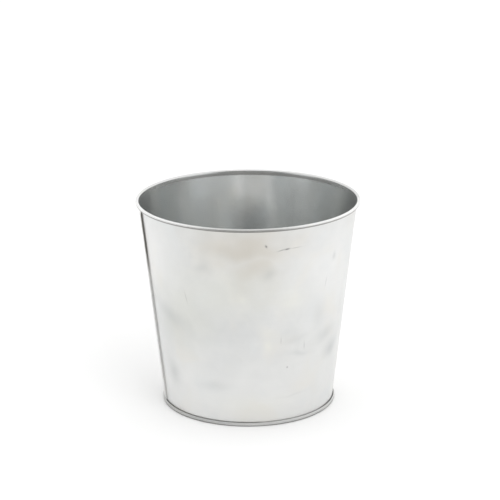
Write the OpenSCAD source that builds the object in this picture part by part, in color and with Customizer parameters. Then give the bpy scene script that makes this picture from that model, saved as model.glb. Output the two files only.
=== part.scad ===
// Florist bucket: a plain tapered pail of galvanised sheet steel, with a wired rim,
// one grooved lock seam down the side and a double-seamed base.
// Millimetres, +Z up, origin at the centre of the standing ring.

/* [Overall size] */
// Diameter over the rim bead
rim_d = 200; // [170:1:320]
// Height from the standing ring to the top of the bead
height = 187; // [120:1:320]
// Diameter over the base seam
base_d = 156.2; // [120:0.2:180]

/* [Sheet and wire] */
// Sheet thickness
sheet_t = 0.4; // [0.3:0.05:0.5]
// Diameter of the wire inside the rim bead
wire_d = 2.2; // [1.6:0.1:4]
// Play between the wire and the curled sheet, on the radius
wire_play = 0.05; // [0.03:0.01:0.1]

/* [Side seam] */
// Direction of the joint line of the seam round the bucket, from +X
seam_az = 196; // [0:1:359]
// Width of the lock seam
seam_w = 6; // [4:0.5:10]
// Gap between the folded layers of the lock seam
fold_gap = 0.08; // [0.06:0.01:0.12]
// Width of the sealant strip over the seam line inside
strip_w = 4; // [2:0.5:6]
// Thickness of that strip
strip_t = 0.5; // [0.3:0.1:1]

/* [Base] */
// Height of the base seam
base_seam_h = 3.2; // [3:0.1:6]
// Gap between the folded layers of the base seam
layer_gap = 0.15; // [0.1:0.01:0.2]
// Bend radius between the base panel and its upstand, on the outside
panel_bend = 1; // [0.8:0.1:1.5]

/* [Hidden] */
$fn = 180;
t = sheet_t;
eps = 0.02;                            // clearance under the sealants
zinc = [0.78, 0.79, 0.79];
base_zinc = [0.72, 0.73, 0.73];
wire_grey = [0.60, 0.61, 0.62];
putty = [0.50, 0.52, 0.50];

// base seam: centre-line radii of its five layers, outermost first
pitch = t + layer_gap;
r_outer = base_d / 2 - t / 2;          // outer wall, part of the base disc
r_body_hook = r_outer - pitch;         // upturned hook of the body
r_disc_hook = r_outer - 2 * pitch;     // downturned hook of the base disc
r_wall = r_outer - 3 * pitch;          // body wall
r_upstand = r_outer - 4 * pitch;       // upstand of the base panel
body_fold_z = t + layer_gap + pitch + t / 2;
disc_fold_z = base_seam_h - t / 2 - pitch;
corner = 0.3;                          // inside radius of the two bottom corners

// rim curl, closed round the wire
curl_r = wire_d / 2 + wire_play + t / 2;
curl_c = [rim_d / 2 - curl_r - t / 2, height - curl_r - t / 2];
curl_end = -132;

// straight wall, tangent to the curl
foot = [r_wall, base_seam_h - 0.3];
reach = curl_c - foot;
wall_len = sqrt(reach * reach - curl_r * curl_r);
taper = atan2(reach[0], reach[1]) - asin(curl_r / norm(reach));
up_wall = [sin(taper), cos(taper)];
off_wall = [cos(taper), -sin(taper)];
foot_miter = [cos(taper / 2), -sin(taper / 2)] * t / 2 / cos(taper / 2);

// lock seam: the layers lie one step apart, counted outward from the wall
layer_step = t + fold_gap;
// the joint line is at y = 0, with the under sheet on its -Y side
seam_from = 1;
seam_to = wall_len - curl_r - t / 2 - 0.3;
joint_angle = fold_gap / (rim_d / 2) * 180 / PI;

// Bent piece of sheet seen edge-on: centre o, inside radius r, from a0 to a1.
module bend(o, r, a0, a1) {
    n = max(2, ceil(abs(a1 - a0) / 45));
    reach_out = 2 * (r + t);
    translate(o) intersection() {
        difference() {
            circle(r = r + t, $fn = 64);
            circle(r = r, $fn = 64);
        }
        polygon(concat([[0, 0]],
            [for (i = [0:n]) let (a = a0 + (a1 - a0) * i / n) reach_out * [cos(a), sin(a)]]));
    }
}

// Straight piece of sheet seen edge-on, standing at radius r.
module stand(r, z0, z1) translate([r - t / 2, z0]) square([t, z1 - z0]);

module body_section() {
    bend(curl_c, curl_r - t / 2, curl_end, 180 - taper);
    polygon([
        [r_wall - t / 2, body_fold_z], [r_wall + t / 2, body_fold_z],
        foot + foot_miter, curl_c - off_wall * (curl_r - t / 2),
        curl_c - off_wall * (curl_r + t / 2), foot - foot_miter]);
    bend([r_disc_hook, body_fold_z], pitch - t / 2, 180, 360);
    stand(r_body_hook, body_fold_z, disc_fold_z - 0.05);
}

module disc_section() {
    translate([0, base_seam_h - t]) square([r_upstand + t / 2 - panel_bend, t]);
    bend([r_upstand + t / 2 - panel_bend, base_seam_h - panel_bend], panel_bend - t, 0, 90);
    stand(r_upstand, t + corner, base_seam_h - panel_bend);
    bend([r_upstand + t / 2 + corner, t + corner], corner, 180, 270);
    translate([r_upstand + t / 2 + corner, 0]) square([r_outer - r_upstand - t - 2 * corner, t]);
    bend([r_outer - t / 2 - corner, t + corner], corner, 270, 360);
    stand(r_outer, t + corner, disc_fold_z);
    bend([r_body_hook, disc_fold_z], pitch - t / 2, 0, 180);
    stand(r_disc_hook, body_fold_z + 0.05, disc_fold_z);
}

// Folded edge of the sheet lying flat along the slope of the wall, as [outward, across] points.
module folded(points) {
    start = foot + up_wall * seam_from;
    translate([start[0], 0, start[1]]) rotate([0, taper, 0])
        linear_extrude(height = seam_to - seam_from) polygon(points);
}

module lock_seam() {
    left = t - seam_w;
    k = layer_step;
    tongue_end = -t - 2 * fold_gap - 0.02;
    under = -fold_gap - 0.02;
    // over sheet: the step up from the wall, the cap, the folded edge and the tongue
    folded([
        [0, 0.01], [0, t], [3 * k + t / 2, t], [3 * k + t / 2, left], [k - t / 2, left],
        [k - t / 2, tongue_end], [k + t / 2, tongue_end], [k + t / 2, left + t],
        [3 * k - t / 2, left + t], [3 * k - t / 2, 0.01]]);
    // under sheet: folded edge and tongue
    folded([
        [0, under - t], [0, under], [2 * k + t / 2, under], [2 * k + t / 2, left + t + fold_gap],
        [2 * k - t / 2, left + t + fold_gap], [2 * k - t / 2, under - t]]);
}

// One sheet rolled round, its two edges left open along the joint line and held by the lock seam.
module body_sheet() color(zinc) rotate(seam_az) union() {
    rotate_extrude(angle = 360 - joint_angle) body_section();
    lock_seam();
}

module rim_wire() color(wire_grey)
    rotate(seam_az + 0.5) rotate_extrude(angle = 359)
        translate(curl_c) circle(r = wire_d / 2, $fn = 64);

module base_disc() color(base_zinc) rotate_extrude() disc_section();

module base_seam_sealant() color(putty) rotate_extrude() {
    x0 = r_upstand + t / 2 - panel_bend;
    x1 = r_wall - t / 2 - eps;
    difference() {
        polygon([
            [x0 - 0.8, base_seam_h + eps], [x0, base_seam_h + eps], [x0, base_seam_h - panel_bend + 0.3],
            [x1, base_seam_h - panel_bend + 0.3], [x1, base_seam_h + 1.1]]);
        translate([x0, base_seam_h - panel_bend]) circle(r = panel_bend + eps, $fn = 64);
    }
}

module side_seam_sealant() color(putty) rotate(seam_az) {
    o0 = -t / 2 - eps - strip_t;
    o1 = -t / 2 - eps;
    s0 = 1.7;
    s1 = wall_len - 2;
    intersection() {
        rotate_extrude() polygon([
            foot + up_wall * s0 + off_wall * o0, foot + up_wall * s0 + off_wall * o1,
            foot + up_wall * s1 + off_wall * o1, foot + up_wall * s1 + off_wall * o0]);
        translate([base_d / 4, -(strip_w + fold_gap) / 2, -10]) cube([rim_d, strip_w, height + 20]);
    }
}

body_sheet();
rim_wire();
base_disc();
base_seam_sealant();
side_seam_sealant();
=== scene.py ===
import math

import bmesh
import bpy
import numpy as np
from mathutils import Matrix, Vector


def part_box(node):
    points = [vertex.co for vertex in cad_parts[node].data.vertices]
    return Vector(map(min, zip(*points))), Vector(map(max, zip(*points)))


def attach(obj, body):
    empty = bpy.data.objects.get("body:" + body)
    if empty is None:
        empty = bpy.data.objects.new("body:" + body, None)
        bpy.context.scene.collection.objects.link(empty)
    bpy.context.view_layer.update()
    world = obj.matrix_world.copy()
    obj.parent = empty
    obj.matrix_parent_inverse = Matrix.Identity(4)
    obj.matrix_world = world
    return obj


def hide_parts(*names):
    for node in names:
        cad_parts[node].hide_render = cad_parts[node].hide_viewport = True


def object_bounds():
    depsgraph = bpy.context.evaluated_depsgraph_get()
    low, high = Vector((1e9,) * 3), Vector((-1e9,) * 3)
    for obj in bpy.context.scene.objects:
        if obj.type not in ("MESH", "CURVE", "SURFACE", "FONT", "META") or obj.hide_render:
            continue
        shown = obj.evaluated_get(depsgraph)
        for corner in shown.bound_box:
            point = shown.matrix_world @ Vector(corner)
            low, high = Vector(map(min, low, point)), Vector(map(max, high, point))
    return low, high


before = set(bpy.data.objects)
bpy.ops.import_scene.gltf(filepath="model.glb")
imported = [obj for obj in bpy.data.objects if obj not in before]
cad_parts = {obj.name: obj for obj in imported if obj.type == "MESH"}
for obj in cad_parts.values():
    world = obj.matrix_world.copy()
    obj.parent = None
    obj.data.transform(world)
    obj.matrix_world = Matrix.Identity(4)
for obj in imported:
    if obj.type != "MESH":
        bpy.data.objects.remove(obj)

cad_lo, cad_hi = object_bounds()
MM = 0.001

# ---------------------------------------------------------------- sizes, millimetres
body_lo, body_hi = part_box("body_sheet")
disc_lo, disc_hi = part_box("base_disc")
RIM_R = round((body_hi.x - body_lo.x) / 2 / MM)
HEIGHT = round(cad_hi.z / MM)
BASE_R = round((disc_hi.x - disc_lo.x) / 2 / MM, 1)
SEAM_H = round(disc_hi.z / MM, 1)
T = 0.4                      # sheet
GAP = 0.15                   # between the layers of the base seam
PITCH = T + GAP
STEP = T + 0.08              # between the layers of the lock seam
SEAM_W = 6.0
SEAM_AZ = math.radians(196)

R_OUTER = BASE_R - T / 2
R_HOOK = R_OUTER - PITCH
R_DHOOK = R_OUTER - 2 * PITCH
R_WALL = R_OUTER - 3 * PITCH
R_UP = R_OUTER - 4 * PITCH
FOLD_Z = T + GAP + PITCH + T / 2
DFOLD_Z = SEAM_H - T / 2 - PITCH
CURL_R = 1.1 + 0.05 + T / 2
CX, CZ = RIM_R - CURL_R - T / 2, HEIGHT - CURL_R - T / 2
FX, FZ = R_WALL, SEAM_H - 0.3
_dx, _dz = CX - FX, CZ - FZ
WALL_LEN = math.sqrt(_dx * _dx + _dz * _dz - CURL_R * CURL_R)
TAPER = math.atan2(_dx, _dz) - math.asin(CURL_R / math.hypot(_dx, _dz))
UP = (math.sin(TAPER), math.cos(TAPER))
OFF = (math.cos(TAPER), -math.sin(TAPER))
SEAM_TO = WALL_LEN - CURL_R - T / 2 - 0.3

rng = np.random.default_rng(41)


def smooth(a, b, x):
    t = np.clip((np.asarray(x, float) - a) / (b - a), 0, 1)
    return t * t * (3 - 2 * t)


# ---------------------------------------------------------------- the shape of a hand-made wall
# Flats left by the rolls run down the sheet; a few shallow knocks sit on top of them.
_flat = [(k, rng.uniform(0.4, 1.0), rng.uniform(0, 2 * math.pi), rng.uniform(-0.5, 0.5)) for k in (3, 5, 7, 8, 10, 11, 13, 16, 19, 23)]
_wave = [(rng.integers(2, 9), rng.uniform(1, 3), rng.uniform(0, 6.28), rng.uniform(0, 6.28)) for _ in range(9)]
DENTS = [  # azimuth, height, half width, half height, depth inward
    (216, 97, 7, 11, 0.30), (212.5, 39, 5, 9, 0.34), (330, 61, 6, 5, 0.30), (323, 78, 8, 6, 0.16),
    (323, 152, 4, 4, 0.16), (298, 118, 12, 9, 0.10), (254, 62, 14, 10, 0.10), (275, 146, 16, 12, -0.10),
    (246, 168, 9, 7, 0.10), (30, 90, 9, 9, 0.25), (75, 50, 7, 6, 0.28), (120, 120, 12, 8, 0.2), (152, 70, 6, 10, 0.25),
]


def wall_disp(az, z):
    """Radial displacement of the sheet, mm, at azimuth az (radians) and height z (mm)."""
    az, z = np.broadcast_arrays(np.asarray(az, float), np.asarray(z, float))
    w = smooth(7, 26, z) * (1 - smooth(160, 181, z))
    d = np.zeros(az.shape)
    for k, a, p, tw in _flat:
        d += a * 0.45 / k * np.cos(k * az + p + tw * z / 90)
    for k, m, p, q in _wave:
        d += 0.018 * np.cos(k * az + p) * np.cos(m * math.pi * z / 187 + q)
    for a0, z0, sa, sz, dep in DENTS:
        da = (az - math.radians(a0) + math.pi) % (2 * math.pi) - math.pi
        r = FX + (z - FZ) * math.tan(TAPER)
        d -= dep * np.exp(-((da * r / sa) ** 2 + ((z - z0) / sz) ** 2))
    near = (az - SEAM_AZ + math.pi) % (2 * math.pi) - math.pi
    return d * w * (0.35 + 0.65 * smooth(0.04, 0.2, np.abs(near)))


# ---------------------------------------------------------------- sheet sections
def arc(cx, cz, r, a0, a1, n, sign=1):
    out = []
    for i in range(n + 1):
        a = math.radians(a0 + (a1 - a0) * i / n)
        out.append((cx + r * math.cos(a), cz + r * math.sin(a), sign * math.cos(a), sign * math.sin(a)))
    return out


def line(p, q, nx, nz, n, skip=1):
    return [(p[0] + (q[0] - p[0]) * i / n, p[1] + (q[1] - p[1]) * i / n, nx, nz) for i in range(skip, n + 1)]


def outline(path):
    """Closed outline of a sheet of thickness T whose centre line and normals are in path."""
    a = [(x + nx * T / 2, z + nz * T / 2) for x, z, nx, nz in path]
    b = [(x - nx * T / 2, z - nz * T / 2) for x, z, nx, nz in path]
    return a, b


def to_mesh(name, verts, faces, mats, sharp=None, mat_ids=None, drop_doubles=False):
    me = bpy.data.meshes.new(name)
    me.from_pydata([tuple(v) for v in np.asarray(verts) * MM], [], faces)
    if mat_ids is not None:
        me.polygons.foreach_set("material_index", np.asarray(mat_ids, np.int32))
    bm = bmesh.new()
    bm.from_mesh(me)
    if drop_doubles:
        bmesh.ops.remove_doubles(bm, verts=bm.verts, dist=1e-7)
        bmesh.ops.dissolve_degenerate(bm, edges=bm.edges, dist=1e-7)
    bmesh.ops.recalc_face_normals(bm, faces=bm.faces)
    bm.to_mesh(me)
    bm.free()
    me.shade_smooth()
    if sharp:
        me.set_sharp_from_angle(angle=math.radians(sharp))
    for m in mats:
        me.materials.append(m)
    ob = bpy.data.objects.new(name, me)
    bpy.context.scene.collection.objects.link(ob)
    return ob


def sweep(name, ring, n, mats, mat_of, a0=0.0, a1=2 * math.pi, caps=False, disp=None, sharp=40, pole=False):
    """Turns the closed outline ring round Z. mat_of gives the material of each span of the outline."""
    full = not caps
    cols = n if full else n + 1
    az = a0 + (a1 - a0) * np.arange(cols) / n
    R = np.array([p[0] for p in ring])[None, :] + np.zeros((cols, 1))
    Z = np.array([p[1] for p in ring])[None, :] + np.zeros((cols, 1))
    if disp is not None:
        dr, dz = disp(az[:, None], R, Z)
        R, Z = R + dr, Z + dz
    V = np.stack([R * np.cos(az)[:, None], R * np.sin(az)[:, None], Z], -1).reshape(-1, 3)
    m = len(ring)
    faces, ids = [], []
    for i in range(n):
        i1 = (i + 1) % cols
        for j in range(m):
            j1 = (j + 1) % m
            if pole and R[0, j] < 1e-6 and R[0, j1] < 1e-6:
                continue
            faces.append((i * m + j, i1 * m + j, i1 * m + j1, i * m + j1))
            ids.append(mat_of[j])
    if caps:
        h = m // 2
        for base in (0, n * m):
            for j in range(h - 1):
                faces.append((base + j, base + j + 1, base + m - 2 - j, base + m - 1 - j))
                ids.append(mat_of[j])
    return to_mesh(name, V, faces, mats, sharp, ids, drop_doubles=pole)


# ---------------------------------------------------------------- node helper
class Tree:
    """Short names for building a shader tree."""

    def __init__(self, mat):
        mat.use_nodes = True
        self.t = mat.node_tree
        self.t.nodes.clear()
        self.out = self.t.nodes.new("ShaderNodeOutputMaterial")
        self.bsdf = self.t.nodes.new("ShaderNodeBsdfPrincipled")
        self.t.links.new(self.bsdf.outputs[0], self.out.inputs[0])
        self.co = self.t.nodes.new("ShaderNodeTexCoord").outputs["Object"]

    def _set(self, sock, v):
        if isinstance(v, bpy.types.NodeSocket):
            self.t.links.new(v, sock)
        else:
            sock.default_value = v

    def math(self, op, a, b=0.0, c=0.0, clamp=False):
        n = self.t.nodes.new("ShaderNodeMath")
        n.operation, n.use_clamp = op, clamp
        for s, v in zip(n.inputs, (a, b, c)):
            self._set(s, v)
        return n.outputs[0]

    def add(self, a, b): return self.math("ADD", a, b)
    def sub(self, a, b): return self.math("SUBTRACT", a, b)
    def mul(self, a, b): return self.math("MULTIPLY", a, b)

    def vmath(self, op, a, b=(0, 0, 0)):
        n = self.t.nodes.new("ShaderNodeVectorMath")
        n.operation = op
        self._set(n.inputs[0], a)
        self._set(n.inputs[1], b)
        return n.outputs[0]

    def vlen(self, v):
        """Distance from the Z axis."""
        x, y, z = self.sep(v)
        return self.math("SQRT", self.add(self.mul(x, x), self.mul(y, y)))

    def sep(self, v):
        n = self.t.nodes.new("ShaderNodeSeparateXYZ")
        self._set(n.inputs[0], v)
        return n.outputs

    def comb(self, x, y, z):
        n = self.t.nodes.new("ShaderNodeCombineXYZ")
        for s, v in zip(n.inputs, (x, y, z)):
            self._set(s, v)
        return n.outputs[0]

    def noise(self, vec, scale, detail=2.0, rough=0.5, dist=0.0):
        n = self.t.nodes.new("ShaderNodeTexNoise")
        self._set(n.inputs["Vector"], vec)
        n.inputs["Scale"].default_value = scale
        n.inputs["Detail"].default_value = detail
        n.inputs["Roughness"].default_value = rough
        n.inputs["Distortion"].default_value = dist
        return n.outputs[0]

    def ramp(self, x, lo, hi, a=0.0, b=1.0):
        """x from lo..hi to a..b, with soft ends."""
        n = self.t.nodes.new("ShaderNodeMapRange")
        n.interpolation_type = "SMOOTHSTEP"
        self._set(n.inputs[0], x)
        for i, v in enumerate((lo, hi, a, b)):
            n.inputs[i + 1].default_value = v
        return n.outputs[0]

    def mix(self, fac, a, b, blend="MIX"):
        n = self.t.nodes.new("ShaderNodeMix")
        n.data_type, n.blend_type = "RGBA", blend
        self._set(n.inputs[0], fac)
        for i, v in ((6, a), (7, b)):
            if not isinstance(v, bpy.types.NodeSocket):
                v = (*v, 1.0) if len(v) == 3 else v
            self._set(n.inputs[i], v)
        return n.outputs[2]

    def bump(self, height, strength, distance, normal=None):
        n = self.t.nodes.new("ShaderNodeBump")
        n.inputs["Strength"].default_value = strength
        n.inputs["Distance"].default_value = distance
        self._set(n.inputs["Height"], height)
        if normal is not None:
            self._set(n.inputs["Normal"], normal)
        return n.outputs[0]

    def shader(self, **sockets):
        for k, v in sockets.items():
            s = self.bsdf.inputs[k.replace("_", " ")]
            if not isinstance(v, bpy.types.NodeSocket) and k == "Base_Color":
                v = (*v, 1.0)
            self._set(s, v)


def unrolled(t):
    """Azimuth in millimetres of girth at 87 mm radius, and height in millimetres."""
    x, y, z = t.sep(t.co)
    az = t.math("ARCTAN2", y, x)                      # -pi..pi, front is -pi/2
    az = t.math("ADD", az, t.mul(t.math("LESS_THAN", az, 0.0), 2 * math.pi))
    return t.mul(az, 87.0), t.mul(z, 1000.0)


def spot(t, u, v, az, z, su, sv, turn=0.0, edge=2.0):
    """A soft patch round a point of the wall: 1 in its middle, 0 outside. A higher edge gives it a crisper border."""
    du, dv = t.sub(u, math.radians(az) * 87.0), t.sub(v, z)
    c, s = math.cos(math.radians(turn)), math.sin(math.radians(turn))
    if turn:
        du, dv = t.add(t.mul(du, c), t.mul(dv, s)), t.sub(t.mul(dv, c), t.mul(du, s))
    q = t.add(t.math("POWER", t.math("ABSOLUTE", t.mul(du, 1 / su)), edge), t.math("POWER", t.math("ABSOLUTE", t.mul(dv, 1 / sv)), edge))
    return t.math("POWER", 2.718, t.mul(q, -1.0))


# ---------------------------------------------------------------- galvanised sheet
def zinc(name, light, dark, r_lo, r_hi, seed, kind, clouds=1.0):
    mat = bpy.data.materials.new(name)
    t = Tree(mat)
    base = t.vmath("ADD", t.co, (0.37 * seed, 0.21 * seed, 0.13 * seed))
    cloud = t.noise(base, 17.0, 3.0, 0.55, 0.6)          # patches of 40 to 60 mm
    patch = t.noise(base, 60.0, 2.5, 0.5, 0.5)          # 15 mm mottling
    grain = t.noise(t.vmath("ADD", base, (0.2, 0.6, 0.1)), 170.0, 0.0, 0.5)      # worn zinc spangle, 5 mm
    fine = t.noise(base, 420.0, 1.5, 0.5)                # matt frosting
    u, v = unrolled(t)
    round_, up_ = (t.mul(t.sep(t.co)[0], 1000.0), t.mul(t.sep(t.co)[1], 1000.0)) if kind == "base" else (u, v)
    drawn = t.noise(t.comb(t.mul(round_, 0.02), t.mul(up_, 0.35), 0.0), 1.0, 2.0, 0.5)   # rolling lines round the sheet
    tone = t.add(t.mul(t.sub(cloud, 0.5), 0.9 * clouds), t.mul(t.sub(patch, 0.5), 0.6 * clouds))
    tone = t.add(tone, t.mul(t.sub(grain, 0.5), 0.10))
    tone = t.add(tone, t.mul(t.sub(fine, 0.5), 0.10))
    tone = t.add(tone, t.mul(t.sub(drawn, 0.5), 0.08))
    tone = t.math("ADD", tone, 0.5, clamp=True)
    col = t.mix(tone, dark, light)
    if kind == "out":        # painted reflection: the sheet paler low down and on the upper flanks, so duller high on the front
        col = t.mix(t.ramp(v, 10.0, 110.0, 0.50, 0.0), col, (0.86, 0.86, 0.85))
        # painted lighter reflection on the upper flanks
        flank_reflection = t.math("MAXIMUM", spot(t, u, v, 206, 150, 24, 46), spot(t, u, v, 322, 140, 40, 60))
        col = t.mix(t.mul(flank_reflection, 0.55), col, (0.84, 0.84, 0.835))
    if kind == "in":         # painted highlight high on the back wall, and painted lighter reflection towards the left and right ends, one of them beside the seam
        wave = t.mul(t.sub(cloud, 0.5), 14.0)
        # painted highlight: a pale patch high on the back wall
        rear_highlight = spot(t, t.add(u, wave), t.add(v, t.mul(patch, 14.0)), 88.0, 196, 19.0, 44, edge=5.0)
        ends = t.math("MAXIMUM", spot(t, u, v, 170, 176, 34, 60), t.math("MAXIMUM", spot(t, u, v, 8, 176, 34, 60), spot(t, u, v, 368, 176, 34, 60)))
        col = t.mix(t.mul(rear_highlight, 0.9), col, (0.90, 0.90, 0.885))
        col = t.mix(t.mul(ends, 0.35), col, (0.90, 0.91, 0.905))
        col = t.mix(t.mul(spot(t, t.add(u, wave), v, 69.5, 165, 7.5, 80, edge=3.0), 0.30), col, (0.46, 0.48, 0.475))
        streak = t.noise(t.comb(t.mul(u, 0.032), t.mul(v, 0.003), 7.0), 1.0, 1.0, 0.4)
        col = t.mix(t.ramp(streak, 0.44, 0.56, 0.22, 0.0), col, (0.50, 0.515, 0.51))
    tint = t.noise(t.vmath("ADD", base, (3.1, 1.7, 0.4)), 26.0, 2.0, 0.5, 0.4)
    warm = tuple(c * k for c, k in zip(light, (1.0, 0.965, 0.90)))
    cool = tuple(c * k for c, k in zip(light, (0.935, 0.97, 1.0)))
    col = t.mix(t.ramp(tint, 0.52, 0.72, 0.0, 0.32), col, warm)
    col = t.mix(t.ramp(tint, 0.48, 0.28, 0.0, 0.32), col, cool)
    rough = t.math("ADD", t.mul(t.sub(0.5, tone), (r_hi - r_lo) * 1.4), (r_lo + r_hi) / 2)
    rough = t.add(rough, t.mul(t.sub(grain, 0.5), 0.05))
    rough = t.math("MAXIMUM", rough, 0.285) if r_lo > 0.25 else t.math("MINIMUM", rough, 0.262)
    swell = t.noise(t.vmath("ADD", base, (0.9, 0.5, 0.2)), 58.0, 1.5, 0.45)
    bump_h = t.add(t.mul(swell, 0.6), t.mul(drawn, 0.08))
    # painted shade and some stains, a dark grey: in the crease along the base seam, under the bead and beside the lock
    # seam; on the base a painted contact shadow along its foot, painted shade in its crease and a stain near the
    # panel's edge; on the bead painted shade on its underside; inside, darker low down and painted shade under the bead
    ragged = t.noise(base, 130.0, 4.0, 0.65)
    rad = t.mul(t.vlen(t.co), 1000.0)
    gir = t.mul(u, 1 / 87.0 * 180 / math.pi)             # azimuth in degrees
    comes = t.math("MAXIMUM", t.ramp(gir, 273.0, 281.0, 1.0, 0.30), t.ramp(gir, 318.0, 336.0, 0.0, 1.0))
    if kind == "out":
        # painted shade in the crease where the wall meets the base seam
        low = t.mul(t.ramp(t.sub(v, t.mul(ragged, 0.9)), SEAM_H - 0.4, SEAM_H + 0.4, 0.62, 0.0), comes)
        # painted shade under the bead
        high = t.ramp(t.add(v, t.mul(ragged, 0.8)), HEIGHT - 3.2, HEIGHT - 2.4, 0.0, 0.7)
        seam_u = math.degrees(SEAM_AZ) / 180 * math.pi * 87
        r_here = t.add(t.mul(t.sub(v, FZ), math.tan(TAPER)), R_WALL)
        girth = t.mul(t.sub(u, seam_u), t.mul(r_here, 1 / 87.0))      # true distance from the joint line
        side = t.sub(girth, 0.05)
        # painted shade beside the lock seam, a dark band strongest high up
        seam_side_shade = t.mul(t.ramp(side, 0.0, 0.22, 0.0, 1.0), t.ramp(t.sub(side, t.mul(ragged, 0.7)), 0.5, 1.3, 1.0, 0.0))
        seam_side_shade = t.mul(seam_side_shade, t.mul(t.ramp(v, 118.0, 150.0, 0.36, 1.0), t.ramp(v, 8.0, 30.0, 0.6, 1.0)))
        shade_and_stain = t.math("MAXIMUM", t.math("MAXIMUM", low, high), seam_side_shade)
    elif kind == "base":
        # painted contact shadow along the foot of the ring, weaker at the front
        foot_shade_sides = t.math("MAXIMUM", t.ramp(gir, 243.0, 262.0, 1.0, 0.0), t.ramp(gir, 274.0, 292.0, 0.0, 1.0))
        contact_shadow = t.mul(t.mul(t.ramp(t.sub(v, t.mul(ragged, 0.5)), 0.1, 1.4, 1.0, 0.0), t.add(0.5, t.mul(foot_shade_sides, 0.25))), t.ramp(rad, R_HOOK - 0.2, R_HOOK, 0.0, 1.0))
        # painted shade in the crease between the ring and the wall
        crease = t.mul(t.ramp(t.sub(v, t.mul(ragged, 0.2)), SEAM_H - 0.7, SEAM_H - 0.15, 0.0, 0.8), t.ramp(rad, R_HOOK + 0.25, R_HOOK - 0.05, 0.0, 1.0))
        crease = t.mul(crease, comes)
        crease = t.mul(crease, t.ramp(rad, R_DHOOK - 0.9, R_DHOOK - 0.7, 0.0, 1.0))
        stain = t.mul(t.ramp(rad, 60.0, 76.0, 0.0, 0.35), t.ramp(ragged, 0.35, 0.7, 0.2, 1.0))
        stain = t.mul(stain, t.ramp(rad, R_UP - 0.2, R_UP, 1.0, 0.0))
        # the ring's outer face greyer on its left side
        grey = t.mul(t.mul(t.ramp(gir, 243.0, 262.0, 0.22, 0.0), t.ramp(gir, 150.0, 190.0, 0.3, 1.0)), t.ramp(rad, R_HOOK, R_HOOK + 0.2, 0.0, 1.0))
        shade_and_stain = t.math("MAXIMUM", t.math("MAXIMUM", contact_shadow, crease), t.math("MAXIMUM", stain, grey))
    elif kind == "bead":
        # the bead's outer face darker, most of all at the front
        front_darkening = t.add(0.12, t.mul(spot(t, u, v, 268, 186, 34, 100, edge=4.0), 0.70))
        col = t.mix(t.mul(t.ramp(rad, CX - 0.5, CX + 0.3, 0.0, 1.0), front_darkening), col, (0.47, 0.475, 0.46))
        col = t.mix(t.math("MAXIMUM", spot(t, u, v, 203, 186, 50, 100), spot(t, u, v, 336, 186, 54, 100)), col, (0.86, 0.86, 0.855))
        # painted shade on the underside of the bead
        shade_and_stain = t.mul(t.ramp(t.add(v, t.mul(ragged, 0.5)), CZ - 0.1, CZ + 0.8, 0.78, 0.0), t.ramp(rad, CX - 0.4, CX + 0.2, 0.0, 1.0))
    else:
        # darker low down inside
        low = t.ramp(t.sub(v, t.mul(ragged, 5.0)), 3.4, 8.0, 0.55, 0.0)
        # painted shade in a line just under the bead inside, fainter at the ends
        under_bead_shade = t.mul(t.ramp(t.add(v, t.mul(ragged, 0.4)), HEIGHT - 5.1, HEIGHT - 4.1, 0.0, 1.0), t.ramp(v, HEIGHT - 2.5, HEIGHT - 1.7, 1.0, 0.0))
        under_bead_shade = t.mul(under_bead_shade, t.sub(1.0, t.mul(ends, 0.75)))
        shade_and_stain = t.math("MAXIMUM", low, t.mul(under_bead_shade, 0.62))
    if kind == "out":
        wob = t.vmath("MULTIPLY", t.vmath("SUBTRACT", t.comb(t.noise(base, 42.0, 1.2, 0.35), t.noise(t.vmath("ADD", base, (1.3, 0, 0)), 42.0, 1.2, 0.35), 0.0), (0.5, 0.5, 0.0)), (30.0, 30.0, 0.0))
        wx, wy, _ = t.sep(wob)
        uw, vw = t.add(u, wx), t.add(v, wy)
        # a warm darker patch high on the front
        top_warm_patch = t.math("MAXIMUM", spot(t, uw, vw, 267, 170, 34, 17), t.mul(spot(t, uw, vw, 273, 148, 19, 19), 0.8))
        col = t.mix(t.mul(top_warm_patch, 0.82), col, (0.54, 0.51, 0.455))
        # duller bluish area low on the front
        blue = t.math("MAXIMUM", spot(t, uw, vw, 262, 88, 24, 20), t.mul(spot(t, uw, vw, 254, 58, 20, 14), 0.9))
        col = t.mix(t.mul(blue, 0.25), col, (0.56, 0.575, 0.59))
        murk = t.math("MAXIMUM", spot(t, uw, vw, 222, 88, 24, 30), t.mul(spot(t, uw, vw, 238, 100, 30, 30), 0.7))
        col = t.mix(t.mul(murk, 0.42), col, (0.54, 0.55, 0.52))
        green = t.math("MAXIMUM", spot(t, uw, vw, 258, 128, 44, 20), t.mul(spot(t, uw, vw, 232, 112, 24, 30), 0.8))
        col = t.mix(t.mul(green, 0.36), col, (0.64, 0.645, 0.585))
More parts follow.
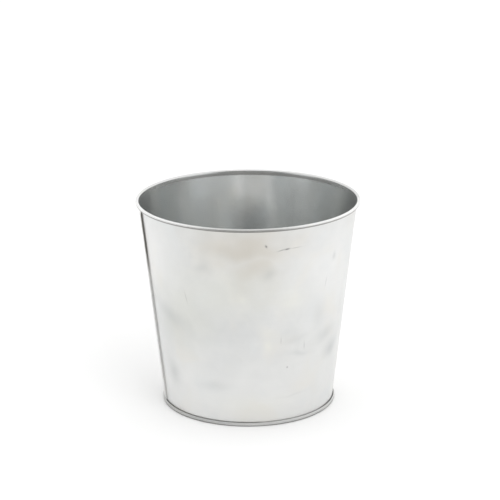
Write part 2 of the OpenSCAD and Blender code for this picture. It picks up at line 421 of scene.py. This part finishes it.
        # painted shade: darker patches over the knocks in the wall and beside them
        for az, z, su, sv, turn, k in ((218, 96, 19, 7, -22, 0.30), (214, 40, 9, 12, 14, 0.38), (330.5, 61, 12, 6.5, 20, 0.40),
                                       (323.5, 77, 14, 7, 20, 0.26), (322.5, 152, 2.4, 4.0, 10, 0.30), (315, 102, 8, 14, 0, 0.16),
                                       (297, 80, 13, 3.5, 8, 0.14), (244, 150, 7, 5, 20, 0.22), (281, 143, 4, 6, -30, 0.26),
                                       (248, 36, 14, 5, 5, 0.20), (300, 26, 18, 1.4, 3, 0.10), (301, 66, 9, 2.5, -12, 0.20),
                                       (30, 88, 9, 8, 10, 0.4), (76, 50, 7, 6, 0, 0.4), (121, 118, 14, 8, 20, 0.3), (150, 60, 6, 12, 0, 0.3)):
            m = t.mul(spot(t, t.add(u, t.mul(wx, 0.35)), t.add(v, t.mul(wy, 0.35)), az, z, su, sv, turn), k)
            col = t.mix(m, col, (0.40, 0.42, 0.42))
        for az, z, su, sv, k in ((295, 118, 11, 9, 0.22), (280.5, 75, 4, 5, 0.28), (282, 88, 7, 5, 0.15), (270, 18, 38, 10, 0.20), (267, 120, 4, 4, 0.15)):
            m = t.mul(spot(t, t.add(u, t.mul(wx, 0.3)), t.add(v, t.mul(wy, 0.3)), az, z, su, sv), k)
            col = t.mix(m, col, (0.84, 0.83, 0.74))
        # sharp little marks: a nick, a scratch with a dig in it, specks
        sharp = t.mul(spot(t, u, v, 279.2, 170.4, 0.75, 1.3, 25), 0.75)
        for az, z, su, sv, turn, k in ((290.4, 166.5, 2.2, 0.6, 8, 0.85), (287.6, 166.0, 3.6, 0.45, 14, 0.50), (295.2, 166.9, 4.6, 0.36, 3, 0.30),
                                       (294, 54.5, 0.7, 0.8, 0, 0.5), (289.2, 81, 0.45, 3.0, 0, 0.20), (305, 72.5, 0.5, 3.2, 4, 0.24),
                                       (233, 118, 0.5, 5, 12, 0.2), (318, 128, 0.5, 4, -8, 0.2), (60, 130, 5, 0.5, 10, 0.5), (140, 84, 0.6, 5, 0, 0.4)):
            sharp = t.math("MAXIMUM", sharp, t.mul(spot(t, u, v, az, z, su, sv, turn), k))
        col = t.mix(sharp, col, (0.13, 0.13, 0.13))
        rough = t.add(rough, t.mul(sharp, 0.15))
        bump_h = t.sub(bump_h, t.mul(sharp, 0.6))
    # hairline scratches
    along, across = (t.mul(t.sep(t.co)[0], 1000.0), t.mul(t.sep(t.co)[1], 1000.0)) if kind == "base" else (u, v)
    hair = t.noise(t.comb(t.mul(along, 0.05), t.mul(across, 0.22), 4.0), 1.0, 1.0, 0.3, 0.8)
    hair = t.mul(t.ramp(t.math("ABSOLUTE", t.sub(hair, 0.5)), 0.0, 0.006, 1.0, 0.0), t.ramp(cloud, 0.45, 0.62, 0.0, 1.0))
    col = t.mix(t.mul(hair, 0.08), col, tuple(c * 0.75 for c in light))
    # lays the painted shade and the stains on as a dark grey; it also makes them rougher and less metallic
    col = t.mix(shade_and_stain, col, (0.16, 0.155, 0.145))
    rough = t.math("ADD", rough, t.mul(shade_and_stain, 0.25), clamp=True)
    metal = t.math("SUBTRACT", 0.88 if kind == "in" else 1.0, t.mul(shade_and_stain, 0.55))      # a dull film inside
    t.shader(Base_Color=col, Roughness=rough, Metallic=metal)
    n = t.bump(bump_h, 1.0, 0.00006)
    n = t.bump(fine, 0.3, 0.00001, n)
    t.shader(Normal=n)
    return mat


def wire_steel(name):
    mat = bpy.data.materials.new(name)
    t = Tree(mat)
    f = t.noise(t.co, 500.0, 3.0, 0.6)
    t.shader(Base_Color=t.mix(f, (0.34, 0.34, 0.35), (0.56, 0.56, 0.57)), Roughness=t.ramp(f, 0.3, 0.7, 0.3, 0.5), Metallic=1.0, Normal=t.bump(f, 0.4, 0.00003))
    return mat


def sealant(name):
    mat = bpy.data.materials.new(name)
    t = Tree(mat)
    a = t.noise(t.co, 90.0, 4.0, 0.6, 0.4)
    b = t.noise(t.co, 600.0, 2.0, 0.6)
    k = t.math("ADD", t.mul(a, 0.8), t.mul(b, 0.2))
    t.shader(Base_Color=t.mix(k, (0.20, 0.21, 0.20), (0.40, 0.41, 0.39)), Roughness=t.ramp(a, 0.3, 0.7, 0.5, 0.75), Metallic=0.0, Specular_IOR_Level=0.4, Normal=t.bump(k, 0.6, 0.0002))
    return mat


M_OUT = zinc("zinc_outside", (0.75, 0.75, 0.74), (0.58, 0.59, 0.585), 0.29, 0.39, 1, "out", clouds=0.7)
M_IN = zinc("zinc_inside", (0.74, 0.75, 0.745), (0.61, 0.625, 0.62), 0.10, 0.24, 2, "in", clouds=0.8)
M_BEAD = zinc("zinc_bead", (0.74, 0.74, 0.73), (0.58, 0.59, 0.585), 0.14, 0.26, 3, "bead", clouds=0.6)
M_BASE = zinc("zinc_base", (0.68, 0.68, 0.67), (0.52, 0.53, 0.525), 0.30, 0.42, 4, "base", clouds=0.8)
M_WIRE = wire_steel("wire_steel")
M_SEAL = sealant("seam_sealant")

# ---------------------------------------------------------------- body sheet
curl = arc(CX, CZ, CURL_R, -132, 180 - math.degrees(TAPER), 26)
head = (CX - OFF[0] * CURL_R, CZ - OFF[1] * CURL_R)
wall = line(head, (FX, FZ), -OFF[0], -OFF[1], 60)
foot = [(FX, FZ - 0.35, -1, 0), (FX, FOLD_Z, -1, 0)]
fold = arc(R_DHOOK, FOLD_Z, PITCH, 180, 360, 8)[1:]
hook = [(R_HOOK, DFOLD_Z - 0.05, 1, 0)]
path = curl + wall + foot + fold + hook
side_a, side_b = outline(path)
ring = side_a + side_b[::-1]
n_path, n_curl = len(path), len(curl)
mat_of = []
for j in range(len(ring)):
    k = j if j < n_path else 2 * n_path - 1 - j      # index along the path
    on_a = j < n_path
    if on_a:
        mat_of.append(2 if k < n_curl - 1 else 1)
    else:
        mat_of.append(0)
mat_of[n_path - 1] = 0


def body_disp(az, R, Z):
    d = wall_disp(az, Z)
    # the bead swells a little where the folded edges of the sheet run into it
    near = ((az - SEAM_AZ + math.pi) % (2 * math.pi) - math.pi) * 97
    bump = 0.05 * np.exp(-(near / 3.0) ** 2) * smooth(180, 184, Z)
    dr, dz = R - CX, Z - CZ
    ripple = 0.008 * (np.cos(37 * az) + np.cos(61 * az + 1.0) + np.cos(23 * az + 2.0)) * smooth(182, 185, Z)
    k = bump - np.abs(ripple)
    rad = np.sqrt(dr * dr + dz * dz) + 1e-9
    # keep it inside the overall box
    return d + np.minimum(dr / rad * k, 0.0), np.minimum(dz / rad * k, 0.0)


N_ROUND = 480
body = sweep("body_sheet_visual", ring, N_ROUND, [M_OUT, M_IN, M_BEAD], mat_of,
             SEAM_AZ, SEAM_AZ + 2 * math.pi - 0.08 / RIM_R, caps=True, disp=body_disp)

# ---------------------------------------------------------------- base disc
B0 = R_UP + T / 2 - 1.0
panel = line((0, SEAM_H - T / 2), (B0, SEAM_H - T / 2), 0, 1, 26, skip=0)
bpath = (panel
         + arc(B0, SEAM_H - 1.0, 1.0 - T / 2, 90, 0, 8)[1:]
         + line((R_UP, SEAM_H - 1.0), (R_UP, T + 0.3), 1, 0, 3)
         + [(x, z, -nx, -nz) for x, z, nx, nz in arc(R_UP + T / 2 + 0.3, T + 0.3, 0.3 + T / 2, 180, 270, 6)[1:]]
         + line((R_UP + T / 2 + 0.3, T / 2), (R_OUTER - T / 2 - 0.3, T / 2), 0, 1, 2)
         + [(x, z, -nx, -nz) for x, z, nx, nz in arc(R_OUTER - T / 2 - 0.3, T + 0.3, 0.3 + T / 2, 270, 360, 6)[1:]]
         + line((R_OUTER, T + 0.3), (R_OUTER, DFOLD_Z), -1, 0, 4)
         + [(x, z, -nx, -nz) for x, z, nx, nz in arc(R_HOOK, DFOLD_Z, PITCH, 0, 180, 10)[1:]]
         + [(R_DHOOK, FOLD_Z + 0.05, 1, 0)])
ba, bb = outline(bpath)
bring = ba + bb[::-1]


def base_disp(az, R, Z):
    r = R / B0
    dz = -0.22 * (1 - np.clip(r, 0, 1) ** 2) * (1 + 0.25 * np.cos(2 * az + 1)) - 0.05 * np.cos(3 * az) * np.clip(r, 0, 1) * (1 - np.clip(r, 0, 1)) * 4
    dr = -0.03 * (1 + np.cos(41 * az + 2 * np.cos(3 * az))) * smooth(R_HOOK, R_OUTER, R) * smooth(0.6, 2.0, Z)
    return dr, dz


base = sweep("base_disc_visual", bring, N_ROUND, [M_BASE], [0] * len(bring), disp=base_disp, pole=True)

# ---------------------------------------------------------------- lock seam
def on_wall(y, off, s, az0=SEAM_AZ):
    """A point of the seam: y across it, off outward from the wall's middle, s along the slope; the wall's own shape is followed."""
    r = FX + UP[0] * s + OFF[0] * off
    z = FZ + UP[1] * s + OFF[1] * off
    a = az0 + math.asin(y / r)
    r += float(wall_disp(a, z))
    return (r * math.cos(a), r * math.sin(a), z)


def loft(name, sections, mats, closed_ends=True, sharp=50):
    V = [p for s in sections for p in s]
    m = len(sections[0])
    F = []
    for i in range(len(sections) - 1):
        for j in range(m):
            j1 = (j + 1) % m
            F.append((i * m + j, i * m + j1, (i + 1) * m + j1, (i + 1) * m + j))
    if closed_ends:
        F.append(tuple(range(m)))
        F.append(tuple(range((len(sections) - 1) * m, len(sections) * m)))
    return to_mesh(name, V, F, mats, sharp)


def seam_section(s):
    left, right = T - SEAM_W, T
    top = 3 * STEP + T / 2
    # the ridge is rolled down flat where it goes under the bead and into the base seam
    k = 1 - 0.55 * float(smooth(SEAM_TO - 5, SEAM_TO, s)) - 0.35 * float(1 - smooth(1.0, 3.4, s))
    k *= 1 + 0.03 * math.sin(s * 0.35) + 0.02 * math.sin(s * 1.1 + 1)
    e = 0.05 * math.sin(s * 0.21) + 0.03 * math.sin(s * 0.83 + 2)
    r = STEP + T / 2
    lo = T / 2 + 0.08
    pts = [(left + r + 0.1, -0.1), (left + r + 0.1, lo)]
    for i in range(9):
        a = math.radians(270 - 22.5 * i)
        pts.append((left + r + e + r * math.cos(a), lo + r * k + r * k * math.sin(a)))
    h = lo + 2 * r * k
    for i in range(1, 8):
        f = i / 8
        y = left + r + (right - 0.45 - left - r) * f
        pts.append((y + e * (1 - f), h + 0.03 * math.sin(math.pi * f)))
    for i in range(6):
        a = math.radians(90 - 16 * i)
        pts.append((right - 0.45 + 0.45 * math.cos(a), h - 0.45 * k + 0.45 * k * math.sin(a)))
    for i in range(6):
        a = math.radians(190 + 16 * i)
        pts.append((right + 0.33 + 0.34 * math.cos(a), T / 2 + 0.31 + 0.34 * math.sin(a)))
    pts.append((right + 0.42, -0.1))
    return [on_wall(y, off, s) for y, off in pts]


N_SEAM = 150
seam = loft("side_lock_seam", [seam_section(1.0 + (SEAM_TO - 1.0) * i / N_SEAM) for i in range(N_SEAM + 1)], [M_OUT])

# ---------------------------------------------------------------- sealing compound
def strip_section(s):
    w = 2.0 + 0.18 * math.sin(s * 0.3) + 0.12 * math.sin(s * 0.77 + 1) + 0.08 * math.sin(s * 1.9 + 2)
    h = 0.42 + 0.05 * math.sin(s * 0.47 + 1) + 0.03 * math.sin(s * 1.3)
    end = float(smooth(1.7, 3.2, s) * (1 - smooth(WALL_LEN - 5, WALL_LEN - 2.2, s)))
    w, h = w * (0.55 + 0.45 * end), h * (0.3 + 0.7 * end)
    sh = 0.15 * math.sin(s * 0.11)
    pts = [(-w + sh, -T / 2 + 0.03)]
    for i in range(11):
        a = math.pi * i / 10
        pts.append((sh - w * math.cos(a), -T / 2 - 0.01 - h * math.sin(a) ** 0.8))
    pts.append((w + sh, -T / 2 + 0.03))
    return [on_wall(y, off, s) for y, off in pts]


strip = loft("side_seam_sealant_visual", [strip_section(1.7 + (WALL_LEN - 3.7) * i / 200) for i in range(201)], [M_SEAL], sharp=70)

x1 = R_WALL - T / 2 - 0.005
fillet = [(B0 - 0.8, SEAM_H + 0.005), (B0, SEAM_H - 0.005)]
for i in range(1, 6):
    a = math.radians(90 - 13 * i)
    fillet.append((B0 + math.cos(a), SEAM_H - 1.0 + math.sin(a)))
fillet += [(x1, SEAM_H - 0.6), (x1, SEAM_H + 1.05)]
for i in range(1, 8):
    f = i / 8
    fillet.append((x1 + (B0 - 0.8 - x1) * f, SEAM_H + 0.02 + 1.03 * (1 - f) ** 2.0 + 0.06 * math.sin(math.pi * f)))


def fillet_disp(az, R, Z):
    w = 1 + 0.16 * np.sin(19 * az) + 0.1 * np.sin(43 * az + 1) + 0.07 * np.sin(97 * az + 2)
    up = smooth(SEAM_H, SEAM_H + 0.5, Z) * (1 - smooth(x1 - 0.05, x1, R))
    inner = 1 - smooth(B0 - 0.8, B0, R)
    return -0.22 * inner * (w - 1) * 3, (w - 1) * 0.5 * up * (Z - SEAM_H)


bead = sweep("base_seam_sealant_visual", fillet, 360, [M_SEAL], [0] * len(fillet), disp=fillet_disp, sharp=60)

for ob, node, slot in ((body, "body_sheet", "galvanised_sheet"), (base, "base_disc", "galvanised_base"),
                       (strip, "side_seam_sealant", "seam_sealant"), (bead, "base_seam_sealant", "seam_sealant")):
    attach(ob, "root")
    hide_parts(node)
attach(seam, "root")
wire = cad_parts["rim_wire"]
wire.data.materials.clear()
wire.data.materials.append(M_WIRE)
wire.data.shade_smooth()

# ---------------------------------------------------------------- floor, light and camera
scene = bpy.context.scene
scene.view_settings.view_transform = "Standard"
scene.view_settings.look = "None"
scene.view_settings.exposure = 0.0
scene.view_settings.gamma = 1.0


def plane(name, x0, x1, y0, y1, z, mat):
    me = bpy.data.meshes.new(name)
    me.from_pydata([(x0, y0, z), (x1, y0, z), (x1, y1, z), (x0, y1, z)], [], [(0, 1, 2, 3)])
    me.materials.append(mat)
    ob = bpy.data.objects.new(name, me)
    scene.collection.objects.link(ob)
    return ob


paper = bpy.data.materials.new("white_paper")
tp = Tree(paper)
pn = tp.noise(tp.co, 3.0, 2.0, 0.5)
tp.shader(Base_Color=tp.mix(pn, (0.93, 0.93, 0.925), (0.95, 0.95, 0.95)), Roughness=0.9, Specular_IOR_Level=0.1)
floor = plane("floor", -6, 6, -6, 6, -0.0002, paper)

world = bpy.data.worlds.new("studio")
scene.world = world
world.use_nodes = True
wt = world.node_tree
wt.nodes.clear()


class WTree(Tree):
    def __init__(self, tree):
        self.t = tree
        self.co = tree.nodes.new("ShaderNodeTexCoord").outputs["Generated"]


w = WTree(wt)
wx_, wy_, wz_ = w.sep(w.co)
BACK, FRONT, TOP, RIGHT, LEFT = 1.07, 0.24, 1.20, 1.13, 1.00
sky = w.mix(w.ramp(wy_, -0.45, 0.10, 1.0, 0.0), (BACK, BACK, BACK), (FRONT, FRONT * 0.985, FRONT * 0.96))
sky = w.mix(w.ramp(wx_, 0.35, 0.85, 0.0, 1.0), sky, (RIGHT, RIGHT, RIGHT))
sky = w.mix(w.ramp(wx_, -0.45, -0.90, 0.0, 1.0), sky, (LEFT, LEFT, LEFT))
sky = w.mix(w.ramp(wz_, 0.42, 0.64, 0.0, 1.0), sky, (TOP, TOP, TOP))
bg = wt.nodes.new("ShaderNodeBackground")
wt.links.new(sky, bg.inputs[0])
bg.inputs[1].default_value = 1.0
wo = wt.nodes.new("ShaderNodeOutputWorld")
wt.links.new(bg.outputs[0], wo.inputs[0])

# a large soft lamp, high to the right of the camera
lamp_data = bpy.data.lights.new("soft_lamp", "AREA")
lamp_data.shape, lamp_data.size, lamp_data.energy = "DISK", 2.2, 25.0
lamp = bpy.data.objects.new("soft_lamp", lamp_data)
scene.collection.objects.link(lamp)
lamp_at = Vector((1.4, -2.2, 2.6))
lamp.matrix_world = Matrix.Translation(lamp_at) @ (-lamp_at).to_track_quat("-Z", "Y").to_matrix().to_4x4()
lamp.visible_glossy = False

cam_data = bpy.data.cameras.new("camera")
cam_data.sensor_width = 36.0
cam_data.lens = 141.34
cam_data.clip_start, cam_data.clip_end = 0.05, 60.0
cam = bpy.data.objects.new("camera", cam_data)
scene.collection.objects.link(cam)
pitch, yaw, roll = 0.300, 0.001, -0.0047
fwd = Vector((math.sin(yaw) * math.cos(pitch), math.cos(yaw) * math.cos(pitch), -math.sin(pitch)))
right = fwd.cross(Vector((0, 0, 1))).normalized()
up = right.cross(fwd)
r2 = math.cos(roll) * right + math.sin(roll) * up
u2 = -math.sin(roll) * right + math.cos(roll) * up
m = Matrix((r2, u2, -fwd)).transposed().to_4x4()
m.translation = Vector((0.0, -1.68064, 0.6582))
cam.matrix_world = m
scene.camera = cam
